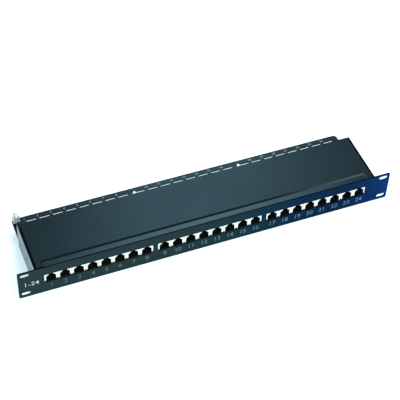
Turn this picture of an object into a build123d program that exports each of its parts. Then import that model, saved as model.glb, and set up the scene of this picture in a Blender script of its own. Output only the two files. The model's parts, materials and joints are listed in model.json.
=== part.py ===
from build123d import *
import math
import os

# Rack-mount 24-port shielded patch panel, one rack unit high, in millimetres.
# The geometry is laid out from the panel's front face: X to the right, Y to the
# back with 0 on the face, Z up with 0 at the underside. save() then moves it back
# by half its depth, so that the origin is the centre of the footprint.

# Front panel, to the 19-inch rack standard
panel_width = 482.6
panel_height = 44.0
panel_sheet = 1.5
panel_corner = 2.2
panel_flange_depth = 12.0
rack_slot_spacing_x = 465.1
rack_slot_spacing_z = 31.75
rack_slot_length = 11.0
rack_slot_height = 5.4

# Ports: three banks of eight
port_pitch = 17.0
ports_per_bank = 8
bank_spacing = 141.5
bank_names = ("left", "centre", "right")
window_bottom = 16.5
window_top = 30.2

# Body
overall_depth = 110.0
body_width = 440.6
body_depth = 76.0
tray_sheet = 1.2
wall_top = 43.3
front_tab_width = 8.0
dimple_y = 39.0
dimple_z = 22.0
dimple_clearance = 0.1

# Top cover
cover_sheet = 1.0
cover_gap = 1.4
cover_front_gap = 1.0
cover_bottom = 18.5
cover_bend = 1.0
band_width = 419.5
band_depth = 12.0
band_drop = 2.0
band_taper = 35
rear_hem = 5.0

# Rear cable shelf
shelf_top = 16.0
shelf_rear = 109.4
shelf_corner = 5.0
shelf_lip = 4.0
shelf_foot_depth = 11.0
tie_slot_length = 12.7
tie_slot_width = 3.9
tie_slot_rear = 101.9
tie_slot_offset = 4.2
marker_base = 9.6
marker_length = 7.0
marker_rear = 105.4
marker_offset = 8.4
lead_slot_x = -209.8
lead_slot_y = 105.6
lead_slot_length = 5.4

# Circuit boards
board_width = 135.0
board_front = 3.2
board_rear = 60.0
board_sheet = 1.6
board_bottom = 11.5
board_top = board_bottom + board_sheet
board_hole_x = 63.0
board_hole_ys = (31.5, 56.0)

# Jacks
shield_width = 16.7
shield_sheet = 0.3
shield_top = 29.6
jack_front = panel_sheet + 0.1
jack_rear = 23.0
plug_width = 12.4
plug_bottom = 15.6
plug_top = 25.5
plug_depth = 15.5
shoulder_width = 9.2
shoulder_top = 27.2
latch_width = 5.8
latch_top = 28.7
contact_pitch = 1.02
contact_width = 0.45
contact_gauge = 0.35
contact_top = 19.4
contacts_per_jack = 8

# Wire blocks with insulation-piercing forks
idc_width = 16.0
idc_front = 39.0
idc_rear = 49.0
idc_top = 31.0
idc_pitch = 1.9
idc_slot_width = 0.9
idc_slot_depth = 8.0
fork_width = 1.4
fork_sheet = 0.5
fork_height = 12.0

# Earth terminal on the shelf's left rear corner
earth_x = -215.2
earth_z = 24.5
earth_plate_y = 102.0
earth_eye_r = 5.0
earth_neck_left = -219.6
earth_neck_right = -213.2
earth_rivet_x = -216.0
earth_rivet_y = 105.1
earth_screw_r = 2.0
earth_end_r = 1.8
earth_nut_height = 2.2
earth_washer_height = 0.7

# Fasteners
rivet_r = 1.6
rivet_head_r = 3.0
rivet_head_height = 1.0
panel_rivet_y = 8.0
rivet_xs = (-190.0, -114.0, -38.0, 38.0, 114.0, 190.0)
standoff_across = 5.5
spigot_r = 2.0
screw_r = 1.45
screw_head_r = 2.8
screw_head_height = 1.8

half_width = body_width / 2
cover_half = half_width - tray_sheet - cover_gap
shelf_rivet_y = body_depth - 6.5
bank_xs = [-bank_spacing, 0.0, bank_spacing]


def block(x0, x1, y0, y1, z0, z1):
    centre = Pos((x0 + x1) / 2, (y0 + y1) / 2, (z0 + z1) / 2)
    return centre * Box(x1 - x0, y1 - y0, z1 - z0)


def cylinder_along_y(x, z, radius, y0, y1):
    return Pos(x, (y0 + y1) / 2, z) * Rot(90, 0, 0) * Cylinder(radius, y1 - y0)


def cylinder_along_z(x, y, radius, z0, z1):
    return Pos(x, y, (z0 + z1) / 2) * Cylinder(radius, z1 - z0)


def port_offsets():
    first = -port_pitch * (ports_per_bank - 1) / 2
    return [first + port_pitch * i for i in range(ports_per_bank)]


def along_x_edges(shape, y, z):
    # edges that run along X and lie at one y and z
    edges = shape.edges().filter_by(Axis.X)
    edges = edges.filter_by_position(Axis.Y, y - 0.01, y + 0.01)
    return edges.filter_by_position(Axis.Z, z - 0.01, z + 0.01)


def rack_slots():
    slot = Rot(90, 0, 0) * extrude(SlotOverall(rack_slot_length, rack_slot_height), 10, both=True)
    middle = panel_height / 2
    cut = Part()
    for sx in (-1, 1):
        for sz in (-1, 1):
            x = sx * rack_slot_spacing_x / 2
            z = middle + sz * rack_slot_spacing_z / 2
            cut += Pos(x, 0, z) * slot
    return cut


def rivet(x, y, z_bottom, z_grip):
    shank = cylinder_along_z(x, y, rivet_r, z_bottom, z_grip + 0.1)
    head = cylinder_along_z(x, y, rivet_head_r, z_grip, z_grip + rivet_head_height)
    head = fillet(head.edges().group_by(Axis.Z)[-1], rivet_head_height * 0.8)
    return shank + head


def front_panel():
    plate = block(-panel_width / 2, panel_width / 2, 0, panel_sheet, 0, panel_height)
    plate = fillet(plate.edges().filter_by(Axis.Y), panel_corner)
    # a flange welded behind the face lies on the tray's floor
    flange_top = tray_sheet + panel_sheet
    tab_end = half_width - tray_sheet - 0.8
    plate += block(-tab_end, tab_end, 0.5, panel_flange_depth, tray_sheet, flange_top)
    plate -= rack_slots()
    half_window = port_pitch * ports_per_bank / 2
    for x in bank_xs:
        window = block(x - half_window, x + half_window, -1, panel_sheet + 1, window_bottom, window_top)
        plate -= fillet(window.edges().filter_by(Axis.Y), 0.4)
    for x in rivet_xs:
        plate -= cylinder_along_z(x, panel_rivet_y, rivet_r, 0, flange_top + 1)
    front_edges = plate.faces().sort_by(Axis.Y)[0].edges()
    return chamfer(front_edges, 0.2)


def base_tray():
    outer = block(-half_width, half_width, panel_sheet, body_depth, 0, wall_top)
    outer = fillet(outer.edges().filter_by(Axis.Y).group_by(Axis.Z)[0], 1.8)
    inner_half = half_width - tray_sheet
    inner = block(-inner_half, inner_half, panel_sheet - 1, body_depth + 1, tray_sheet, wall_top + 1)
    inner = fillet(inner.edges().filter_by(Axis.Y).group_by(Axis.Z)[0], 0.6)
    tray = outer - inner
    # the floor starts just behind the panel, the walls turn in behind the ears
    tray -= block(-inner_half, inner_half, 0, panel_sheet + 0.3, -1, tray_sheet + 1)
    for side in (-1, 1):
        x0, x1 = sorted((side * (inner_half + 0.5), side * (inner_half - front_tab_width)))
        tray += block(x0, x1, panel_sheet, panel_sheet + tray_sheet, tray_sheet + 2.6, wall_top - 4)
        # narrow inward hem down the wall's rear end, beside the cover
        x0, x1 = sorted((side * (inner_half + 0.5), side * (inner_half - cover_gap + 0.3)))
        tray += block(x0, x1, body_depth - tray_sheet, body_depth, shelf_top + 1.5, wall_top)
        # pressed dimple: a raised cone inside, a shallow conical pocket outside
        height = cover_gap - dimple_clearance
        inward = Rot(0, -90 * side, 0)
        raised = Cone(3.0, 1.5, height, align=(Align.CENTER, Align.CENTER, Align.MIN))
        pocket = Cone(2.2, 1.0, tray_sheet, align=(Align.CENTER, Align.CENTER, Align.MIN))
        tray += Pos(side * inner_half, dimple_y, dimple_z) * inward * raised
        tray -= Pos(side * half_width, dimple_y, dimple_z) * inward * pocket
    for x in rivet_xs:
        tray -= cylinder_along_z(x, panel_rivet_y, rivet_r, -1, 2)
        tray -= cylinder_along_z(x, shelf_rivet_y, rivet_r, -1, 2)
    for x, y in standoff_places():
        tray -= cylinder_along_z(x, y, spigot_r, -1, 2)
    return tray


def top_cover():
    top = panel_height
    front = panel_sheet + cover_front_gap
    skin = block(-cover_half, cover_half, front, body_depth, cover_bottom, top)
    skin = fillet(skin.edges().filter_by(Axis.Y).group_by(Axis.Z)[-1], cover_bend)
    skin = fillet(along_x_edges(skin, body_depth, top), 0.6)
    inside = cover_half - cover_sheet
    hollow = block(-inside, inside, front - 1, body_depth - cover_sheet, cover_bottom - 1, top - cover_sheet)
    hollow = fillet(hollow.edges().filter_by(Axis.Y).group_by(Axis.Z)[-1], 0.3)
    cover = skin - hollow
    cover -= block(-inside, inside, body_depth - 3, body_depth + 1, cover_bottom - 1, top - rear_hem)
    # side flanges start behind the panel's inner tabs
    cover -= block(-240, 240, front - 1, 6.0, cover_bottom - 1, top - 3.2)
    # shallow pressed band along the front, open towards the panel
    outline = Rectangle(band_width, 2 * band_depth)
    tool = extrude(Pos(0, 0, top) * outline, -band_drop, taper=band_taper)
    lining = extrude(Pos(0, 0, top) * offset(outline, cover_sheet, kind=Kind.INTERSECTION),
                     -band_drop - cover_sheet, taper=band_taper)
    lining &= block(-half_width, half_width, front, body_depth, 0, top)
    cover = cover + lining - tool
    for side in (-1, 1):
        x0, x1 = sorted((side * (cover_half - 3), side * (cover_half + 3)))
        hole = Pos((x0 + x1) / 2, dimple_y, dimple_z) * Rot(0, 90, 0) * Cylinder(1.8, 6)
        cover -= hole
    return cover


def rear_shelf():
    shelf_bottom = shelf_top - tray_sheet
    inner = half_width - tray_sheet - 0.8
    web_front = body_depth - 1.3
    plate = block(-half_width, half_width, body_depth + 0.2, shelf_rear, shelf_bottom, shelf_top)
    rear_corners = plate.edges().filter_by(Axis.Z).group_by(Axis.Y)[-1]
    plate = fillet(rear_corners, shelf_corner)
    plate += block(-inner, inner, web_front, body_depth + 1, shelf_bottom, shelf_top)
    web = block(-inner, inner, web_front, web_front + tray_sheet, tray_sheet, shelf_top)
    foot_front = body_depth - shelf_foot_depth
    foot = block(-inner, inner, foot_front, web_front + tray_sheet, tray_sheet, 2 * tray_sheet)
    lip_half = half_width - 2 * shelf_corner
    lip = block(-lip_half, lip_half, shelf_rear - tray_sheet, shelf_rear, shelf_top - shelf_lip, shelf_top)
    shelf = plate + web + foot + lip
    shelf = fillet(along_x_edges(shelf, web_front, shelf_top), 1.0)
    half_slot = tie_slot_length / 2
    slot = block(-half_slot, half_slot, tie_slot_rear - tie_slot_width, tie_slot_rear, 10, 20)
    slot = fillet(slot.edges().filter_by(Axis.Z), 0.8)
    for bank_x in bank_xs:
        for offset_x in port_offsets():
            shelf -= Pos(bank_x + offset_x + tie_slot_offset, 0, 0) * slot
    for x in (-bank_spacing / 2, bank_spacing / 2):
        shelf -= Pos(x + marker_offset, 0, 0) * marker_hole()
    for x in rivet_xs:
        shelf -= cylinder_along_z(x, shelf_rivet_y, rivet_r, 0, 4)
    shelf -= cylinder_along_z(earth_rivet_x, earth_rivet_y, 1.0, 10, 20)
    # slanted slot beside the terminal for the earth lead's tie
    lead_slot = extrude(SlotOverall(lead_slot_length, 1.9), 10)
    return shelf - Pos(lead_slot_x, lead_slot_y, 10) * Rot(0, 0, 42) * lead_slot


def marker_hole():
    # triangular window that points to the rear
    base_y = marker_rear - marker_length
    corners = [(-marker_base / 2, base_y), (marker_base / 2, base_y), (0, marker_rear)]
    outline = make_face(Polyline(*corners, close=True))
    return extrude(Pos(0, 0, 10) * outline, 10)


def jack_opening(y0, y1):
    # plug space with stepped shoulders and the latch notch above it
    main = block(-plug_width / 2, plug_width / 2, y0, y1, plug_bottom, plug_top)
    main += block(-shoulder_width / 2, shoulder_width / 2, y0, y1, plug_top - 1, shoulder_top)
    notch = block(-latch_width / 2, latch_width / 2, y0, y1, plug_top - 1, latch_top)
    return main + notch


def jack_housing():
    half = shield_width / 2 - shield_sheet
    front = jack_front + shield_sheet
    body = block(-half, half, front, jack_rear - shield_sheet, board_top, shield_top - shield_sheet)
    body -= jack_opening(front - 1, front + plug_depth)
    # wider recess behind the latch lip
    body -= block(-latch_width / 2 - 0.6, latch_width / 2 + 0.6, front + 2.5, front + 8, plug_top, latch_top)
    return body


def jack_shield():
    half = shield_width / 2
    box = block(-half, half, jack_front, jack_rear, board_top, shield_top)
    box = fillet(box.edges().filter_by(Axis.Y).group_by(Axis.Z)[-1], 0.25)
    inner_half = half - shield_sheet
    inner = block(-inner_half, inner_half, jack_front + shield_sheet, jack_rear - shield_sheet,
                  board_top - 1, shield_top - shield_sheet)
    # the latch notch runs out through the front sheet's top edge
    notch = block(-latch_width / 2, latch_width / 2, jack_front - 1, jack_front + shield_sheet,
                  plug_top, shield_top + 1)
    return box - inner - notch - jack_opening(jack_front - 1, jack_front + 2)


def contact_spring():
    # flat foot on the plug floor, rising to the back, free end turned down a little
    y0 = jack_front + 2.2
    foot_end = y0 + 2.5
    crest = y0 + 11.0
    floor = plug_bottom
    path = [(y0, floor), (foot_end, floor), (crest, contact_top - contact_gauge), (crest + 1.6, contact_top - 1.2)]
    top = [(crest + 1.6, contact_top - 0.8), (crest, contact_top), (foot_end, floor + contact_gauge),
           (y0, floor + contact_gauge)]
    outline = make_face(Plane.YZ * Polyline(*path, *top, close=True))
    return extrude(outline, contact_width / 2, both=True)


def bank_of(piece):
    # eight copies, one per port of a bank centred on x = 0
    return [Pos(x, 0, 0) * piece for x in port_offsets()]


def jack_contacts():
    spring = contact_spring()
    first = -contact_pitch * (contacts_per_jack - 1) / 2
    return [Pos(first + contact_pitch * i, 0, 0) * spring for i in range(contacts_per_jack)]


def circuit_board():
    board = block(-board_width / 2, board_width / 2, board_front, board_rear, board_bottom, board_top)
    board = fillet(board.edges().filter_by(Axis.Z), 1.0)
    for x in (-board_hole_x, board_hole_x):
        for y in board_hole_ys:
            board -= cylinder_along_z(x, y, screw_r + 0.15, 0, 30)
    return board


def fork_xs():
    first = -idc_pitch * 3.5
    return [first + idc_pitch * i for i in range(8)]


def idc_block():
    half = idc_width / 2
    body = block(-half, half, idc_front, idc_rear, board_top, idc_top)
    body = chamfer(body.edges().filter_by(Axis.X).group_by(Axis.Z)[-1], 1.2)
    middle = (idc_front + idc_rear) / 2
    # centre channel between the two rows of ribs
    body -= block(-half - 1, half + 1, middle - 1.0, middle + 1.0, idc_top - 5, idc_top + 1)
    for x in fork_xs():
        slot_half = idc_slot_width / 2
        body -= block(x - slot_half, x + slot_half, idc_front - 1, idc_rear + 1,
                      idc_top - idc_slot_depth, idc_top + 1)
        body -= block(x - fork_width / 2, x + fork_width / 2, middle - 0.25 - 1.6, middle + 0.25 - 1.6,
                      board_top - 1, idc_top - 2.5)
    return body


def idc_fork():
    middle = (idc_front + idc_rear) / 2 - 1.6
    half = fork_width / 2
    blade = block(-half, half, middle - fork_sheet / 2, middle + fork_sheet / 2,
                  board_top, board_top + fork_height)
    return blade - block(-0.12, 0.12, middle - 1, middle + 1, board_top + 6, board_top + fork_height + 1)


def idc_forks():
    fork = idc_fork()
    return [Pos(x, 0, 0) * fork for x in fork_xs()]


def standoff_places():
    return [(bank_x + side * board_hole_x, y)
            for bank_x in bank_xs for side in (-1, 1) for y in board_hole_ys]


def standoff(x, y):
    hexagon = RegularPolygon(standoff_across / 2, 6, major_radius=False)
    body = extrude(Pos(x, y, tray_sheet) * hexagon, board_bottom - tray_sheet)
    body += cylinder_along_z(x, y, spigot_r, 0, tray_sheet + 0.1)
    return body - cylinder_along_z(x, y, screw_r, board_bottom - 6, board_bottom + 1)


def cross_recess(size, depth):
    # cross-shaped pocket below z = 0
    return block(-size, size, -size / 4, size / 4, -depth, 1) + block(-size / 4, size / 4, -size, size, -depth, 1)


def board_screw(x, y):
    shank = cylinder_along_z(x, y, screw_r, board_top - 5, board_top + 0.1)
    head = cylinder_along_z(x, y, screw_head_r, board_top, board_top + screw_head_height)
    head = fillet(head.edges().group_by(Axis.Z)[-1], 0.9)
    return shank + head - Pos(x, y, board_top + screw_head_height) * cross_recess(1.5, 1.0)


def earth_bracket():
    # round eye about the screw on a narrower neck, with a foot turned back along the shelf
    plate_rear = earth_plate_y + tray_sheet
    neck = block(earth_neck_left, earth_neck_right, earth_plate_y, plate_rear, shelf_top, earth_z)
    eye = cylinder_along_y(earth_x, earth_z, earth_eye_r, earth_plate_y, plate_rear)
    foot_rear = shelf_rear - 2.5
    foot = block(earth_neck_left + 0.6, earth_neck_right, plate_rear - 0.1, foot_rear, shelf_top,
                 shelf_top + tray_sheet)
    bracket = neck + eye + foot
    bracket -= cylinder_along_y(earth_x, earth_z, earth_screw_r + 0.1, 90, 120)
    return bracket - cylinder_along_z(earth_rivet_x, earth_rivet_y, 1.0, 10, 20)


def earth_rivet():
    z_top = shelf_top + tray_sheet
    shank = cylinder_along_z(earth_rivet_x, earth_rivet_y, 1.0, shelf_top - tray_sheet, z_top + 0.1)
    return shank + cylinder_along_z(earth_rivet_x, earth_rivet_y, 1.6, z_top, z_top + 0.7)


def earth_screw():
    head_front = earth_plate_y - 2.6
    head = cylinder_along_y(earth_x, earth_z, 3.9, head_front, earth_plate_y)
    head = fillet(head.edges().group_by(Axis.Y)[0], 1.2)
    thread_end = earth_plate_y + tray_sheet + earth_washer_height + earth_nut_height + 0.3
    shank = cylinder_along_y(earth_x, earth_z, earth_screw_r, earth_plate_y - 0.1, thread_end)
    tip = cylinder_along_y(earth_x, earth_z, earth_end_r, thread_end, overall_depth)
    shank += chamfer(tip.edges().group_by(Axis.Y)[-1], 0.4)
    recess = Pos(earth_x, head_front, earth_z) * Rot(90, 0, 0) * cross_recess(2.1, 1.4)
    return head + shank - recess


def earth_washer():
    y0 = earth_plate_y + tray_sheet
    ring = cylinder_along_y(earth_x, earth_z, 4.2, y0, y0 + earth_washer_height)
    ring -= cylinder_along_y(earth_x, earth_z, earth_screw_r + 0.1, y0 - 1, y0 + 2)
    teeth = 12
    for i in range(teeth):
        angle = math.radians(360 / teeth * i)
        x = earth_x + 4.4 * math.cos(angle)
        z = earth_z + 4.4 * math.sin(angle)
        ring -= cylinder_along_y(x, z, 0.6, y0 - 1, y0 + 2)
    return ring


def earth_nut():
    y0 = earth_plate_y + tray_sheet + earth_washer_height
    hexagon = RegularPolygon(3.5, 6, major_radius=False)
    nut = Pos(earth_x, y0, earth_z) * Rot(-90, 0, 0) * extrude(hexagon, earth_nut_height)
    return nut - cylinder_along_y(earth_x, earth_z, earth_screw_r, y0 - 1, y0 + 4)


def save(name, solids):
    # one file per sub-part; the origin moves to the centre of the footprint
    solids = solids if isinstance(solids, list) else [solids]
    move = Pos(0, -overall_depth / 2, 0)
    loose = [solid for shape in solids for solid in (move * shape).solids()]
    shape = loose[0] if len(loose) == 1 else Compound(children=loose)
    export_step(shape, os.path.join("parts", name + ".step"))


def save_banks():
    housing = jack_housing()
    bank_pieces = {
        "jack_shields": bank_of(jack_shield()),
        "jack_contacts": [Pos(x, 0, 0) * piece for x in port_offsets() for piece in jack_contacts()],
        "circuit_board": [circuit_board()],
        "wire_blocks": bank_of(idc_block()),
        "wire_forks": [Pos(x, 0, 0) * piece for x in port_offsets() for piece in idc_forks()],
    }
    for index, (bank_name, bank_x) in enumerate(zip(bank_names, bank_xs)):
        for kind, pieces in bank_pieces.items():
            save(f"{kind}_{bank_name}", [Pos(bank_x, 0, 0) * piece for piece in pieces])
        for place, x in enumerate(port_offsets()):
            port = index * ports_per_bank + place + 1
            save(f"jack_housing_{port:02d}", Pos(bank_x + x, 0, 0) * housing)


os.makedirs("parts", exist_ok=True)
save("front_panel", front_panel())
save("base_tray", base_tray())
save("top_cover", top_cover())
save("rear_shelf", rear_shelf())
save_banks()
save("board_standoffs", [standoff(x, y) for x, y in standoff_places()])
save("board_screws", [board_screw(x, y) for x, y in standoff_places()])
save("panel_rivets", [rivet(x, panel_rivet_y, 0, tray_sheet + panel_sheet) for x in rivet_xs])
save("shelf_rivets", [rivet(x, shelf_rivet_y, 0, 2 * tray_sheet) for x in rivet_xs] + [earth_rivet()])
save("earth_bracket", earth_bracket())
save("earth_screw", earth_screw())
save("earth_washer", earth_washer())
save("earth_nut", earth_nut())
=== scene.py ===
import bpy
import bmesh
import json
import math
from mathutils import Matrix, Vector


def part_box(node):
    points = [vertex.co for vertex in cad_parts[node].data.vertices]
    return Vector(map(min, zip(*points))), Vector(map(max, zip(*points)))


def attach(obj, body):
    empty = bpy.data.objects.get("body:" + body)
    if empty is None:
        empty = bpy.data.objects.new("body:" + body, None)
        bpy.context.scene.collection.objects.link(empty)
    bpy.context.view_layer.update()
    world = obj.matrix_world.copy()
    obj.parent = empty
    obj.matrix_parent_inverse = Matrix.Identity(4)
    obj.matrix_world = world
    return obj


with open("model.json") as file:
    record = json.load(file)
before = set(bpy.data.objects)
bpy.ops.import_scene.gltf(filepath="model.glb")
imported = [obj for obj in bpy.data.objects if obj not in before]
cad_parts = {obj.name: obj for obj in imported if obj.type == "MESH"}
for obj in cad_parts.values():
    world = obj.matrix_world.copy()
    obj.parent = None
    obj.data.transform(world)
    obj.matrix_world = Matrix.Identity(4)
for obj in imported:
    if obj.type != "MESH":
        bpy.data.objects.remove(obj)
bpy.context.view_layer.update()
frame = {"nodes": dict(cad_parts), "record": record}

millimetre = 0.001
nodes = frame["nodes"]
panelLow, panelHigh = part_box("front_panel")
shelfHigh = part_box("rear_shelf")[1]
coverLow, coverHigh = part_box("top_cover")
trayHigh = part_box("base_tray")[1]
print("frame loaded:", len(nodes), "nodes")


def linear(red, green, blue):  # 0-255 screen colour to the renderer's linear colour
    def channel(value):
        value = value / 255
        return value / 12.92 if value <= 0.04045 else ((value + 0.055) / 1.055) ** 2.4
    return (channel(red), channel(green), channel(blue), 1.0)


def shaded(colour, share):
    return tuple(channel * share for channel in colour[:3]) + (1,)


def addPiece(name, mesh, material, body="chassis"):
    piece = bpy.data.objects.new(name, mesh)
    bpy.context.scene.collection.objects.link(piece)
    mesh.materials.clear()
    mesh.materials.append(material)
    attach(piece, body)
    return piece


cameraView = {
    "aim": (0.0050, -0.0052, 0.0300),
    "distance": 1.5537,
    "azimuth": -23.134,
    "elevation": 47.521,
    "roll": 2.475,
    "lens": 113.2,
}


def makeCamera(view):
    azimuth = math.radians(view["azimuth"])
    elevation = math.radians(view["elevation"])
    roll = math.radians(view["roll"])
    back = Vector((math.sin(azimuth) * math.cos(elevation),
                   -math.cos(azimuth) * math.cos(elevation),
                   math.sin(elevation)))
    right = (-back).cross(Vector((0, 0, 1))).normalized()
    up = right.cross(-back)
    tiltedRight = right * math.cos(roll) + up * math.sin(roll)
    tiltedUp = up * math.cos(roll) - right * math.sin(roll)
    data = bpy.data.cameras.new("camera")
    data.lens = view["lens"]
    data.sensor_width = 36
    data.clip_start = 0.01
    camera = bpy.data.objects.new("camera", data)
    turn = Matrix((tiltedRight, tiltedUp, back)).transposed().to_4x4()
    camera.matrix_world = Matrix.Translation(Vector(view["aim"]) + back * view["distance"]) @ turn
    bpy.context.scene.collection.objects.link(camera)
    bpy.context.scene.camera = camera
    return back


towardsCamera = makeCamera(cameraView)
print("camera placed")


class Recipe:  # a new material with its shader and short ways to add and join nodes
    def __init__(self, name):
        self.material = bpy.data.materials.new(name)
        self.material.use_nodes = True
        self.tree = self.material.node_tree
        self.shader = self.tree.nodes["Principled BSDF"]
        self.place = self.add("ShaderNodeTexCoord").outputs["Object"]
        self.axes = None

    def add(self, kind, **settings):
        node = self.tree.nodes.new(kind)
        for key, value in settings.items():
            setattr(node, key, value)
        return node

    def join(self, source, target):
        self.tree.links.new(source, target)

    def plain(self, **values):  # constants on the shader's own sockets
        for key, value in values.items():
            self.shader.inputs[key.replace("_", " ")].default_value = value

    def noise(self, scale, detail=4.0, roughness=0.55, stretch=None):
        node = self.add("ShaderNodeTexNoise")
        node.inputs["Scale"].default_value = scale
        node.inputs["Detail"].default_value = detail
        node.inputs["Roughness"].default_value = roughness
        self.join(self.stretched(stretch) if stretch else self.place, node.inputs["Vector"])
        return node.outputs["Fac"]

    def stretched(self, scale):
        node = self.add("ShaderNodeMapping")
        node.inputs["Scale"].default_value = scale
        self.join(self.place, node.inputs["Vector"])
        return node.outputs["Vector"]

    def axis(self, letter):  # X, Y or Z of the place on the part, in metres
        if self.axes is None:
            self.axes = self.add("ShaderNodeSeparateXYZ")
            self.join(self.place, self.axes.inputs["Vector"])
        return self.axes.outputs[letter]

    def remap(self, source, low, high, fromLow=0.3, fromHigh=0.7):
        node = self.add("ShaderNodeMapRange")
        node.inputs["From Min"].default_value = fromLow
        node.inputs["From Max"].default_value = fromHigh
        node.inputs["To Min"].default_value = low
        node.inputs["To Max"].default_value = high
        self.join(source, node.inputs["Value"])
        return node.outputs["Result"]

    def ramp(self, source, stops):
        node = self.add("ShaderNodeValToRGB")
        elements = node.color_ramp.elements
        while len(elements) < len(stops):
            elements.new(0.5)
        for element, (position, colour) in zip(elements, stops):
            element.position = position
            element.color = colour
        self.join(source, node.inputs["Fac"])
        return node.outputs["Color"]

    def mix(self, factor, first, second, blend="MIX"):
        node = self.add("ShaderNodeMix", data_type="RGBA", blend_type=blend)
        for key, value in (("Factor", factor), ("A", first), ("B", second)):
            if isinstance(value, bpy.types.NodeSocket):
                self.join(value, node.inputs[key])
            else:
                node.inputs[key].default_value = value
        return node.outputs["Result"]

    def multiply(self, first, second):
        node = self.add("ShaderNodeMath", operation="MULTIPLY")
        self.join(first, node.inputs[0])
        self.join(second, node.inputs[1])
        return node.outputs["Value"]

    def bump(self, height, strength, distance, before=None):
        node = self.add("ShaderNodeBump")
        node.inputs["Strength"].default_value = strength
        node.inputs["Distance"].default_value = distance
        self.join(height, node.inputs["Height"])
        if before:
            self.join(before, node.inputs["Normal"])
        return node.outputs["Normal"]

    def finish(self, colour=None, roughness=None, normal=None):
        for value, key in ((colour, "Base Color"), (roughness, "Roughness"), (normal, "Normal")):
            if value is not None:
                self.join(value, self.shader.inputs[key])
        return self.material


paintLook = {
    # the panel goes from slate paint at the left ear to a painted blue reflection at the right ear
    "panelPaintAndBlueReflection": [  # share of the panel's width from the left ear, colour
        (0.00, linear(39, 54, 57)), (0.42, linear(34, 49, 52)), (0.55, linear(24, 48, 55)),
        (0.64, linear(12, 44, 60)), (0.74, linear(0, 36, 60)), (0.86, linear(0, 30, 58)),
        (0.94, linear(0, 35, 82)), (1.00, linear(0, 45, 102))],
    "cover": linear(8, 14, 17),
    "coverPale": linear(12, 20, 23),
    "shelf": linear(13, 18, 21),
    "shelfPale": linear(19, 26, 29),
    "grain": 1400.0,  # powder grain, features per metre
    "orangePeel": 420.0,
    "cloud": 9.0,
    "grainDepth": 0.05 * millimetre,
    "grainStrength": 0.45,
    "peelStrength": 0.35,
    "sparkle": 0.05,
    "fleck": (0.16, 0.26, 0.32, 1),
    "panelFleck": (0.02, 0.16, 0.26, 1),
    # label band tone across the cover: paler than the cover, dark at both ends and brightest in the middle
    # as a painted highlight
    "bandPaleAndSheen": [(0.0, linear(22, 32, 38)), (0.28, linear(48, 60, 64)), (0.52, linear(63, 76, 78)),
                  (0.78, linear(46, 58, 62)), (1.0, linear(8, 16, 26))],
    "bandStreak": (0.8, 0.85, 0.88, 1),
    "streakStretch": (5, 1500, 1500),
    "bandDrop": 2.0 * millimetre,
    "bandDepth": 11.0 * millimetre,
    # the pale band stops this far back; from here to the band's depth the crease tone lies on the band's
    # floor as a painted shadow at the foot of the slope
    "footShadowStart": 7.4 * millimetre,
    "creaseEdge": 0.15 * millimetre,
    "creaseFade": 1.6 * millimetre,
    "flatFade": 0.5 * millimetre,
    # crease tone across the cover: near-black painted shade in the crease, turning into a pale painted
    # highlight towards the right end
    "creaseShadeAndHighlight": [(0.0, linear(4, 10, 14)), (0.6, linear(2, 8, 13)), (0.72, linear(14, 24, 30)),
                    (0.84, linear(60, 74, 76)), (1.0, linear(84, 100, 100))],
    # near-black painted shade along the panel's upper cut edge
    "shadedTopEdge": linear(6, 12, 16),
    "cutEdgeDepth": 0.25 * millimetre,
    "cutEdgeClear": 0.1 * millimetre,
    "glossTint": (0.35, 0.8, 1.0, 1),
}


def bandedCover(recipe, base):  # painted shade in the pressed crease, turning to a painted highlight towards its right end, a painted shadow at the foot of the slope, and a paler streaky label band with a painted highlight in its middle
    look = paintLook
    top, front = coverHigh.z, coverLow.y
    step = look["creaseEdge"]
    bandTop = top - look["bandDrop"]
    streaks = recipe.noise(1.0, 4, 0.6, stretch=look["streakStretch"])
    across = recipe.remap(recipe.axis("X"), 0, 1, coverLow.x, coverHigh.x)
    # the label band's tone with its painted highlight, streaked
    strip = recipe.mix(recipe.remap(streaks, 1, 0), recipe.ramp(across, look["bandPaleAndSheen"]),
                       look["bandStreak"], "MULTIPLY")
    belowTop = recipe.remap(recipe.axis("Z"), 1, 0, top - 2 * step, top - step)
    onBand = recipe.remap(recipe.axis("Z"), 1, 0, bandTop + step, bandTop + 2 * step)
    inFront = recipe.remap(recipe.axis("Y"), 1, 0, front + look["bandDepth"],
                           front + look["bandDepth"] + look["creaseFade"])
    onFlat = recipe.remap(recipe.axis("Y"), 1, 0, front + look["footShadowStart"],
                          front + look["footShadowStart"] + look["flatFade"])
    # painted shade and highlight on the crease slope and on the band's floor behind the pale band
    creaseShaded = recipe.mix(recipe.multiply(belowTop, inFront), base, recipe.ramp(across, look["creaseShadeAndHighlight"]))
    return recipe.mix(recipe.multiply(onBand, onFlat), creaseShaded, strip)


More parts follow.
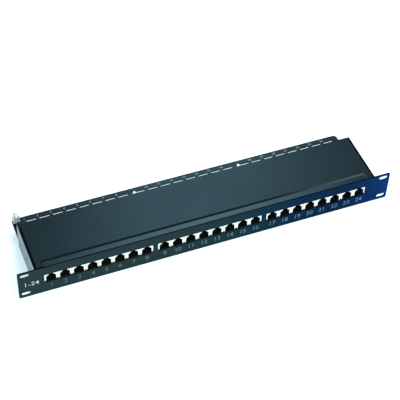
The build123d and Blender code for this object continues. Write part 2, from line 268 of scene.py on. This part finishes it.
def powderPaint(name, tones, roughness, specular, kind="even", fleck=paintLook["fleck"]):
    look = paintLook
    recipe = Recipe(name)
    recipe.plain(Specular_IOR_Level=specular, Specular_Tint=look["glossTint"])
    grain = recipe.noise(look["grain"], 3)
    peel = recipe.noise(look["orangePeel"], 2)
    cloud = recipe.noise(look["cloud"], 3)
    if kind == "panel":  # the colour runs from slate to a painted blue reflection towards the right ear, and the upper cut edge gets a near-black painted shade
        base = recipe.ramp(recipe.remap(recipe.axis("X"), 0, 1, panelLow.x, panelHigh.x), tones)
        # painted shade: the upper cut edge turns near-black
        edge = recipe.remap(recipe.axis("Z"), 0, 1, panelHigh.z - look["cutEdgeDepth"],
                            panelHigh.z - look["cutEdgeClear"])
        base = recipe.mix(edge, base, look["shadedTopEdge"])
    else:
        base = recipe.ramp(cloud, tones)
    if kind == "cover":
        base = bandedCover(recipe, base)
    pale = recipe.mix(recipe.remap(grain, 0.0, look["sparkle"], 0.5, 0.75), base, fleck)
    dull = recipe.remap(cloud, roughness[0], roughness[1])
    coarse = recipe.bump(peel, look["peelStrength"], look["grainDepth"] * 2)
    fine = recipe.bump(grain, look["grainStrength"], look["grainDepth"], coarse)
    return recipe.finish(pale, dull, fine)


panelPaint = powderPaint("panel_paint", paintLook["panelPaintAndBlueReflection"], (0.42, 0.54), 0.02, "panel",
                         paintLook["panelFleck"])
coverPaint = powderPaint("cover_paint", [(0.3, paintLook["cover"]), (0.7, paintLook["coverPale"])],
                         (0.3, 0.37), 0.24, "cover")
shelfPaint = powderPaint("shelf_paint", [(0.3, paintLook["shelf"]), (0.7, paintLook["shelfPale"])],
                         (0.32, 0.4), 0.27)


metals = {  # two tones, roughness range, brush stretch along X Y Z, blotches per metre
    "zinc_sheet": {"colour": linear(70, 104, 110), "dark": linear(52, 92, 102), "roughness": (0.26, 0.42),
                   "brush": (6, 900, 900), "blotch": 60.0, "shine": 0.05, "metal": 0.75,
                   # the wall's top edge takes a near-black painted shade
                   "shadedTopEdge": trayHigh.z},
    "tinned_shield": {"colour": linear(250, 247, 244), "dark": linear(224, 219, 212),
                      "roughness": (0.22, 0.36), "brush": (700, 20, 20), "blotch": 300},
    "zinc_fasteners": {"colour": linear(226, 230, 234), "dark": linear(184, 190, 198),
                       "roughness": (0.2, 0.36), "brush": (300, 300, 300), "blotch": 500, "metal": 0.25},
    "rivet_steel": {"colour": linear(196, 200, 204), "dark": linear(150, 154, 160),
                    "roughness": (0.3, 0.46), "brush": (300, 300, 300), "blotch": 400},
    # pure white and not metallic: a painted reflection of the bright studio instead of zinc's own grey
    "earth_zinc": {"colour": linear(255, 255, 255), "dark": linear(246, 252, 253),
                   "roughness": (0.24, 0.38), "brush": (20, 700, 700), "blotch": 200, "metal": 0.0},
    "tinned_forks": {"colour": linear(222, 222, 216), "dark": linear(180, 180, 174),
                     "roughness": (0.25, 0.4), "brush": (60, 60, 900), "blotch": 500},
    "gold_contacts": {"colour": linear(104, 78, 34), "dark": linear(78, 56, 22),
                      "roughness": (0.2, 0.34), "brush": (60, 900, 60), "blotch": 400, "shine": 0.06},
    "brass_standoffs": {"colour": linear(214, 184, 112), "dark": linear(168, 136, 76),
                        "roughness": (0.28, 0.44), "brush": (40, 40, 1200), "blotch": 300},
}
metalWear = {
    "shine": 0.2,
    "strokeColour": (0.92, 0.95, 0.96, 1),
    "strokeStrength": 0.25,
    "strokeDepth": 0.03 * millimetre,
    # near-black painted shade on the wall's sheared top edge
    "topEdgeShade": linear(20, 26, 30),
    "bareDepth": 0.3 * millimetre,
    "bareClear": 0.1 * millimetre,
}


def platedSheet(name):
    metal, wear = metals[name], metalWear
    recipe = Recipe(name)
    recipe.plain(Metallic=metal.get("metal", 1.0))
    strokes = recipe.noise(1.0, 4, 0.6, stretch=metal["brush"])
    patches = recipe.noise(metal["blotch"], 5, 0.6)
    tone = recipe.mix(recipe.remap(patches, 0, 1), metal["dark"], metal["colour"])
    shine = recipe.remap(strokes, 0.0, metal.get("shine", wear["shine"]))
    lined = recipe.mix(shine, tone, wear["strokeColour"])
    if "shadedTopEdge" in metal:  # the sheared top edge shows bare steel, painted near-black as shade
        bare = recipe.remap(recipe.axis("Z"), 0, 1, metal["shadedTopEdge"] - wear["bareDepth"],
                            metal["shadedTopEdge"] - wear["bareClear"])
        lined = recipe.mix(bare, lined, wear["topEdgeShade"])
    smooth, rough = metal["roughness"]
    dull = recipe.remap(patches, rough, smooth)
    return recipe.finish(lined, dull, recipe.bump(strokes, wear["strokeStrength"], wear["strokeDepth"]))


metalFinish = {name: platedSheet(name) for name in metals}


plastics = {
    "jack_plastic": {"colour": linear(22, 22, 25), "roughness": (0.42, 0.58)},
    "wire_block_plastic": {"colour": linear(224, 224, 216), "roughness": (0.36, 0.5)},
    "chip_ceramic": {"colour": linear(150, 120, 92), "roughness": (0.3, 0.45)},
}
mouldMarks = {
    "grain": 2600.0,
    "grainStrength": 0.4,
    "grainDepth": 0.03 * millimetre,
    "flow": 110.0,
    "flowStretch": (1, 1, 0.3),
    "flowShade": 0.9,
}


def mouldedPlastic(name):
    plastic, marks = plastics[name], mouldMarks
    recipe = Recipe(name)
    recipe.plain(Specular_IOR_Level=0.4)
    texture = recipe.noise(marks["grain"], 3)
    flow = recipe.noise(marks["flow"], 3, stretch=marks["flowStretch"])
    colour = plastic["colour"]
    base = recipe.ramp(flow, [(0.3, shaded(colour, marks["flowShade"])), (0.7, colour)])
    dull = recipe.remap(flow, *plastic["roughness"])
    return recipe.finish(base, dull, recipe.bump(texture, marks["grainStrength"], marks["grainDepth"]))


boardLook = {
    "coat": {"Specular_IOR_Level": 0.5, "Coat_Weight": 0.4, "Coat_Roughness": 0.18},
    "cells": 260.0,
    "resinWidth": 0.16,
    "cellColours": (linear(18, 92, 54), linear(14, 78, 46)),
    "resinColour": linear(30, 118, 70),
    "glassColour": linear(40, 130, 84),
    "glass": 1800.0,
    "cellDepth": 0.03 * millimetre,
    "trackTones": [(0.35, linear(40, 128, 78)), (0.65, linear(56, 148, 94))],
    "trackMottle": 900.0,
    "trackDepth": 0.02 * millimetre,
}


def boardLaminate(name):
    look = boardLook
    recipe = Recipe(name)
    recipe.plain(**look["coat"])
    cells = recipe.add("ShaderNodeTexBrick")
    cells.inputs["Scale"].default_value = look["cells"]
    cells.inputs["Mortar Size"].default_value = look["resinWidth"]
    cells.inputs["Color1"].default_value, cells.inputs["Color2"].default_value = look["cellColours"]
    cells.inputs["Mortar"].default_value = look["resinColour"]
    recipe.join(recipe.place, cells.inputs["Vector"])
    weave = recipe.noise(look["glass"], 2)
    base = recipe.mix(recipe.remap(weave, 0.0, 0.25), cells.outputs["Color"], look["glassColour"])
    ridges = recipe.bump(cells.outputs["Fac"], 0.3, look["cellDepth"])
    return recipe.finish(base, recipe.remap(weave, 0.3, 0.42), ridges)


def trackMask(name):  # the lacquer over the board's copper
    look = boardLook
    recipe = Recipe(name)
    recipe.plain(**look["coat"])
    mottle = recipe.noise(look["trackMottle"], 3)
    tone = recipe.ramp(mottle, look["trackTones"])
    ridges = recipe.bump(mottle, 0.25, look["trackDepth"])
    return recipe.finish(tone, recipe.remap(mottle, 0.28, 0.4), ridges)


inkLook = {
    "numbers": linear(244, 246, 248),
    "marks": linear(212, 222, 226),
    "shelf": linear(176, 180, 190),
    "wear": 1500.0,
    "wornShade": 0.72,
    "thickness": 0.02 * millimetre,
    # darker towards the left ear, with a painted blue reflection towards the right ear
    "numberShadeAndReflection": [  # share of the panel's width from the left ear, colour
        (0.0, linear(84, 100, 108)), (0.45, linear(104, 122, 130)),
        (0.7, linear(102, 124, 148)), (1.0, linear(106, 126, 190))],
}


def printInk(name, colour, reflectionTint=None):
    recipe = Recipe(name)
    recipe.plain(Specular_IOR_Level=0.3)
    wear = recipe.noise(inkLook["wear"], 4)
    base = recipe.ramp(wear, [(0.32, shaded(colour, inkLook["wornShade"])), (0.55, colour)])
    if reflectionTint:  # the ink gets the panel's painted blue reflection towards the right ear and is darker towards the left ear
        across = recipe.remap(recipe.axis("X"), 0, 1, panelLow.x, panelHigh.x)
        base = recipe.mix(1.0, recipe.ramp(across, reflectionTint), base, "MULTIPLY")
    return recipe.finish(base, recipe.remap(wear, 0.5, 0.65), recipe.bump(wear, 0.2, inkLook["thickness"]))


numberInk = printInk("number_ink", inkLook["numbers"], inkLook["numberShadeAndReflection"])
markInk = printInk("mark_ink", inkLook["marks"])
shelfInk = printInk("shelf_ink", inkLook["shelf"])

slotMaterials = {
    "panel_paint": panelPaint, "cover_paint": coverPaint, "shelf_paint": shelfPaint,
    "board_laminate": boardLaminate("board_laminate"), "jack_plastic": mouldedPlastic("jack_plastic"),
    "wire_block_plastic": mouldedPlastic("wire_block_plastic"),
}
slotMaterials.update(metalFinish)
for entry in frame["record"]["subparts"]:
    material = slotMaterials[entry["material_slot"]]
    meshData = nodes[entry["node"]].data
    if not meshData.materials:
        meshData.materials.append(material)
    for index in range(len(meshData.materials)):
        meshData.materials[index] = material
print("materials assigned")


printing = {
    "frontHeight": 6.6 * millimetre,
    "frontCentreZ": 10.0 * millimetre,
    "shelfHeight": 3.3 * millimetre,
    "shelfFromRear": 4.2 * millimetre,
    "shelfShift": -3.6 * millimetre,
    "markerPorts": (9, 17),  # triangular windows stand for these two
    "capShare": 0.7,  # a figure's height as a share of the lettering's size
    "thinning": 0.004,
    "thickness": 0.03 * millimetre,
    "rangeMark": "1-24",
    "rangeHeight": 6.6 * millimetre,
    "rangeX": -225.4 * millimetre,
    "rangeZ": 21.3 * millimetre,
    "rangeSpread": 1.12,
}


def portCentre(port):  # the middle of a jack housing
    low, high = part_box(f"jack_housing_{port:02d}")
    return (low.x + high.x) / 2


def textMesh(words, height, spread):  # flat filled lettering about the origin, in the XY plane
    curve = bpy.data.curves.new("lettering", "FONT")
    curve.body = words
    curve.align_x = "CENTER"
    curve.align_y = "CENTER"
    curve.size = height / printing["capShare"]
    curve.offset = printing["thinning"] * height
    curve.space_character = spread
    curve.resolution_u = 4
    curve.extrude = printing["thickness"] / 2
    source = bpy.data.objects.new("lettering", curve)
    bpy.context.scene.collection.objects.link(source)
    bpy.context.view_layer.update()
    lettering = source.evaluated_get(bpy.context.evaluated_depsgraph_get())
    mesh = bpy.data.meshes.new_from_object(lettering)
    bpy.data.objects.remove(source)
    bpy.data.curves.remove(curve)
    return mesh


# labels are (words, height, centre), and facing turns lettering from the XY plane onto its surface
def joinedPrint(name, labels, facing, spread=1.0):
    combined = bmesh.new()
    for words, height, centre in labels:
        letters = textMesh(words, height, spread)
        letters.transform(Matrix.Translation(centre) @ facing)
        combined.from_mesh(letters)
        bpy.data.meshes.remove(letters)
    mesh = bpy.data.meshes.new(name)
    combined.to_mesh(mesh)
    combined.free()
    return mesh


centres = [portCentre(port) for port in range(1, 25)]  # left to right
ontoPanel = Matrix.Rotation(math.radians(90), 4, "X")
onFlat = Matrix.Identity(4)
turnedFlat = Matrix.Rotation(math.radians(180), 4, "Z")  # read from behind the panel

frontLabels = [(str(port), printing["frontHeight"], Vector((x, panelLow.y, printing["frontCentreZ"])))
               for port, x in enumerate(centres, 1)]
addPiece("port_numbers", joinedPrint("port_numbers", frontLabels, ontoPanel), numberInk)

rangePlace = Vector((printing["rangeX"], panelLow.y, printing["rangeZ"]))
rangeLabel = [(printing["rangeMark"], printing["rangeHeight"], rangePlace)]
rangeMesh = joinedPrint("ear_range_mark", rangeLabel, ontoPanel, printing["rangeSpread"])
addPiece("ear_range_mark", rangeMesh, markInk)

shelfLabelY = shelfHigh.y - printing["shelfFromRear"]
shelfLabels = [(str(port), printing["shelfHeight"],
                Vector((x + printing["shelfShift"], shelfLabelY, shelfHigh.z)))
               for port, x in enumerate(centres, 1) if port not in printing["markerPorts"]]
addPiece("shelf_numbers", joinedPrint("shelf_numbers", shelfLabels, onFlat), shelfInk)
print("numbers printed")


def slab(shape, low, high, bevel=0.0):  # closed block with softened edges
    made = bmesh.ops.create_cube(shape, size=1)
    size = [far - near for near, far in zip(low, high)]
    middle = [(far + near) / 2 for near, far in zip(low, high)]
    bmesh.ops.scale(shape, vec=size, verts=made["verts"])
    bmesh.ops.translate(shape, vec=middle, verts=made["verts"])
    if bevel:
        edges = list(dict.fromkeys(edge for vert in made["verts"] for edge in vert.link_edges))
        bmesh.ops.bevel(shape, geom=edges, offset=bevel, segments=2, affect="EDGES")


def ribbon(shape, points, width, low, high):  # closed strip that follows points in the XY plane
    rings = []
    for index, point in enumerate(points):
        before = points[max(index - 1, 0)]
        after = points[min(index + 1, len(points) - 1)]
        run = (Vector(after) - Vector(before)).normalized()
        side = Vector((-run.y, run.x)) * width / 2
        left, right = Vector(point) + side, Vector(point) - side
        rings.append([shape.verts.new((corner.x, corner.y, z))
                      for corner, z in ((left, low), (left, high), (right, high), (right, low))])
    for first, second in zip(rings, rings[1:]):
        for corner in range(4):
            following = (corner + 1) % 4
            shape.faces.new((first[corner], first[following], second[following], second[corner]))
    shape.faces.new(reversed(rings[0]))
    shape.faces.new(rings[-1])


def turned(shape, profile, centre, segments=32):  # closed solid of revolution about an axis along Y
    rings = []
    for step in range(segments):
        angle = 2 * math.pi * step / segments
        rings.append([shape.verts.new((centre.x + r * math.cos(angle), y, centre.z + r * math.sin(angle)))
                      for r, y in profile])
    for step in range(segments):
        first, second = rings[step], rings[(step + 1) % segments]
        for index in range(len(profile)):
            following = (index + 1) % len(profile)
            shape.faces.new((first[index], first[following], second[following], second[index]))


def meshFrom(name, build):  # build fills an empty shape
    shape = bmesh.new()
    build(shape)
    bmesh.ops.recalc_face_normals(shape, faces=shape.faces)
    mesh = bpy.data.meshes.new(name)
    shape.to_mesh(mesh)
    shape.free()
    return mesh


shieldTabs = {
    "reach": 0.45 * millimetre,
    "length": 4.6 * millimetre,
    "thickness": 0.2 * millimetre,
    "fromWall": 0.12 * millimetre,
    "openingHalf": 6.2 * millimetre,
    "low": 17.6 * millimetre,
    "high": 23.4 * millimetre,
    "setback": 0.9 * millimetre,
    "bendStart": 0.55,  # shares of the length
    "bendEnd": 0.7,
    "tailReach": 0.4,  # share of the reach
}


def buildShieldTabs(shape):  # two springy tongues in each port that touch the plug's shield
    tab = shieldTabs
    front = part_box("jack_shields_left")[0].y + tab["setback"]
    for x in centres:
        for side in (-1, 1):
            wall = x + side * (tab["openingHalf"] - tab["fromWall"])
            tip = wall - side * tab["reach"]
            points = [(wall, front), (tip, front + tab["length"] * tab["bendStart"]),
                      (tip, front + tab["length"] * tab["bendEnd"]),
                      (wall - side * tab["reach"] * tab["tailReach"], front + tab["length"])]
            ribbon(shape, points, tab["thickness"], tab["low"], tab["high"])


addPiece("shield_tabs", meshFrom("shield_tabs", buildShieldTabs), metalFinish["tinned_shield"])

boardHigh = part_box("circuit_board_left")[1]
blockLow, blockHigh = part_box("wire_blocks_left")
tracks = {
    "pins": 8,
    "width": 0.55 * millimetre,
    "height": 0.05 * millimetre,
    "pinPitch": 1.02 * millimetre,
    "forkPitch": 1.9 * millimetre,
    "straight": 3.2 * millimetre,
    "fromJack": 0.6 * millimetre,
}


def buildTracks(shape):  # eight tracks from each jack to its wire block
    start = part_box("jack_shields_left")[1].y + tracks["fromJack"]
    end = blockLow.y
    straight = tracks["straight"]
    for x in centres:
        for pin in range(tracks["pins"]):
            offset = pin - (tracks["pins"] - 1) / 2
            near = x + offset * tracks["pinPitch"]
            far = x + offset * tracks["forkPitch"]
            points = [(near, start), (near, start + straight), (far, end - straight), (far, end)]
            ribbon(shape, points, tracks["width"], boardHigh.z, boardHigh.z + tracks["height"])


addPiece("board_tracks", meshFrom("board_tracks", buildTracks), trackMask("board_tracks"))

chips = {
    "size": (1.6 * millimetre, 0.8 * millimetre, 0.75 * millimetre),
    "cap": 0.3 * millimetre,
    "columns": (-4.2 * millimetre, -1.4 * millimetre, 1.4 * millimetre, 4.2 * millimetre),
    "behindBlock": 3.4 * millimetre,
    "edge": 0.08 * millimetre,
}


def chipPlaces():
    row = blockHigh.y + chips["behindBlock"]
    return [(x + column, row) for x in centres for column in chips["columns"]]


def buildChipBodies(shape):
    length, depth, height = chips["size"]
    for x, y in chipPlaces():
        slab(shape, (x - length / 2 + chips["cap"], y - depth / 2, boardHigh.z),
             (x + length / 2 - chips["cap"], y + depth / 2, boardHigh.z + height), chips["edge"])


def buildChipCaps(shape):
    length, depth, height = chips["size"]
    edge = chips["edge"]
    for x, y in chipPlaces():
        for side in (-1, 1):
            near, far = sorted((x + side * length / 2, x + side * (length / 2 - chips["cap"])))
            slab(shape, (near, y - depth / 2 - edge, boardHigh.z),
                 (far, y + depth / 2 + edge, boardHigh.z + height + edge), edge)


addPiece("chip_bodies", meshFrom("chip_bodies", buildChipBodies), mouldedPlastic("chip_ceramic"))
addPiece("chip_caps", meshFrom("chip_caps", buildChipCaps), metalFinish["tinned_forks"])

boardPrint = {
    "height": 2.2 * millimetre,
    "behindBlock": 7.2 * millimetre,
}
boardLabelY = blockHigh.y + boardPrint["behindBlock"]
boardLabels = [(str(port), boardPrint["height"], Vector((x, boardLabelY, boardHigh.z)))
               for port, x in enumerate(centres, 1)]
addPiece("board_numbers", joinedPrint("board_numbers", boardLabels, turnedFlat), markInk)

wireMarks = {
    "colours": {"blue": linear(28, 84, 176), "orange": linear(232, 122, 30),
                "green": linear(34, 140, 74), "brown": linear(116, 70, 38)},
    "width": 1.5 * millimetre,
    "thickness": 0.06 * millimetre,
    "low": 18.6 * millimetre,
    "high": 22.0 * millimetre,
    "edge": 0.02 * millimetre,
}


def buildWireMarks(shape, pair):  # a full mark and a half mark on both faces of each wire block
    mark = wireMarks
    for x in centres:
        for half, top in enumerate((mark["high"], (mark["low"] + mark["high"]) / 2)):
            middle = x + (2 * pair + half - (tracks["pins"] - 1) / 2) * tracks["forkPitch"]
            for face, outward in ((blockLow.y, -1), (blockHigh.y, 1)):
                near, far = sorted((face, face + outward * mark["thickness"]))
                slab(shape, (middle - mark["width"] / 2, near, mark["low"]),
                     (middle + mark["width"] / 2, far, top), mark["edge"])


for pair, (colourName, colour) in enumerate(wireMarks["colours"].items()):
    mesh = meshFrom("wire_marks_" + colourName, lambda shape: buildWireMarks(shape, pair))
    addPiece("wire_marks_" + colourName, mesh, printInk("wire_mark_" + colourName, colour))

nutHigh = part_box("earth_nut")[1]
screwLow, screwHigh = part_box("earth_screw")
thread = {
    "core": 1.5 * millimetre,
    "root": 1.8 * millimetre,
    "crest": 1.98 * millimetre,
    "pitch": 0.7 * millimetre,
    "turns": 4,
    "afterNut": 0.35 * millimetre,
}


def buildThread(shape):  # ridges on the free end of the earth screw
    centre = Vector(((screwLow.x + screwHigh.x) / 2, 0, (screwLow.z + screwHigh.z) / 2))
    start = nutHigh.y + thread["afterNut"]
    profile = [(thread["core"], start)]
    for turn in range(thread["turns"]):
        y = start + turn * thread["pitch"]
        profile += [(thread["root"], y), (thread["crest"], y + thread["pitch"] / 2)]
    end = start + thread["turns"] * thread["pitch"]
    profile += [(thread["root"], end), (thread["core"], end)]
    turned(shape, profile, centre)


addPiece("earth_thread", meshFrom("earth_thread", buildThread), metalFinish["zinc_fasteners"])
print("small parts added")


studio = {
    "floorColour": (0.93, 0.95, 0.955, 1),
    "floorGlow": (0.52, 0.68, 0.71, 1),
    "glowStrength": 1.0,
    "floorRadius": 6.0,
    "floorGap": 0.2 * millimetre,
    "skyColour": (0.72, 0.92, 1.0, 1),
    "skyStrength": 0.22,
    "keyDistance": 1.5,
    "key": {"size": (0.5, 0.5), "power": 4.8, "colour": (0.8, 0.93, 1.0)},
    "front": {"place": (0.5, -1.7, 1.0), "aim": (0, 0, 0), "size": (1.2, 0.8), "power": 1.6,
              "colour": (0.86, 0.96, 1.0)},
    "overhead": {"place": (0.5, 0.6, 2.3), "aim": (0, 0, 0), "size": (1.4, 1.4), "power": 20.0,
                 "colour": (1, 1, 1)},
    "fill": {"place": (0.35, -1.3, 1.5), "aim": (-0.1, 0, 0), "size": (0.7, 0.7), "power": 23.0,
             "colour": (0.9, 0.98, 1.0)},
}


def makeFloor():
    recipe = Recipe("floor_card")
    recipe.plain(Specular_IOR_Level=0.15, Emission_Strength=studio["glowStrength"],
                 Emission_Color=studio["floorGlow"])
    cloud = recipe.noise(3.0, 2)
    colour = studio["floorColour"]
    tone = recipe.ramp(cloud, [(0.3, shaded(colour, 0.985)), (0.7, colour)])
    material = recipe.finish(tone, recipe.remap(cloud, 0.7, 0.8))
    mesh = bpy.data.meshes.new("floor")
    shape = bmesh.new()
    bmesh.ops.create_circle(shape, cap_ends=True, segments=96, radius=studio["floorRadius"])
    shape.to_mesh(mesh)
    shape.free()
    mesh.materials.append(material)
    floor = bpy.data.objects.new("floor", mesh)
    floor.location.z = -studio["floorGap"]
    bpy.context.scene.collection.objects.link(floor)


def softLight(name, place, aim):
    look = studio[name]
    data = bpy.data.lights.new(name, "AREA")
    data.shape = "RECTANGLE"
    data.size, data.size_y = look["size"]
    data.energy = look["power"]
    data.color = look["colour"]
    light = bpy.data.objects.new(name, data)
    light.location = place
    light.rotation_euler = (Vector(place) - Vector(aim)).to_track_quat("Z", "Y").to_euler()
    bpy.context.scene.collection.objects.link(light)


def makeWorld():
    world = bpy.data.worlds.new("studio")
    world.use_nodes = True
    background = world.node_tree.nodes["Background"]
    background.inputs["Color"].default_value = studio["skyColour"]
    background.inputs["Strength"].default_value = studio["skyStrength"]
    bpy.context.scene.world = world


makeFloor()
makeWorld()
coverMiddle = Vector(((coverLow.x + coverHigh.x) / 2, (coverLow.y + coverHigh.y) / 2, coverHigh.z))
mirrored = Vector((-towardsCamera.x, -towardsCamera.y, towardsCamera.z))  # gives the cover its sheen
softLight("key", coverMiddle + mirrored * studio["keyDistance"], coverMiddle)
for lightName in ("front", "overhead", "fill"):
    softLight(lightName, studio[lightName]["place"], studio[lightName]["aim"])
bpy.context.scene.view_settings.view_transform = "Standard"
print("studio lit")
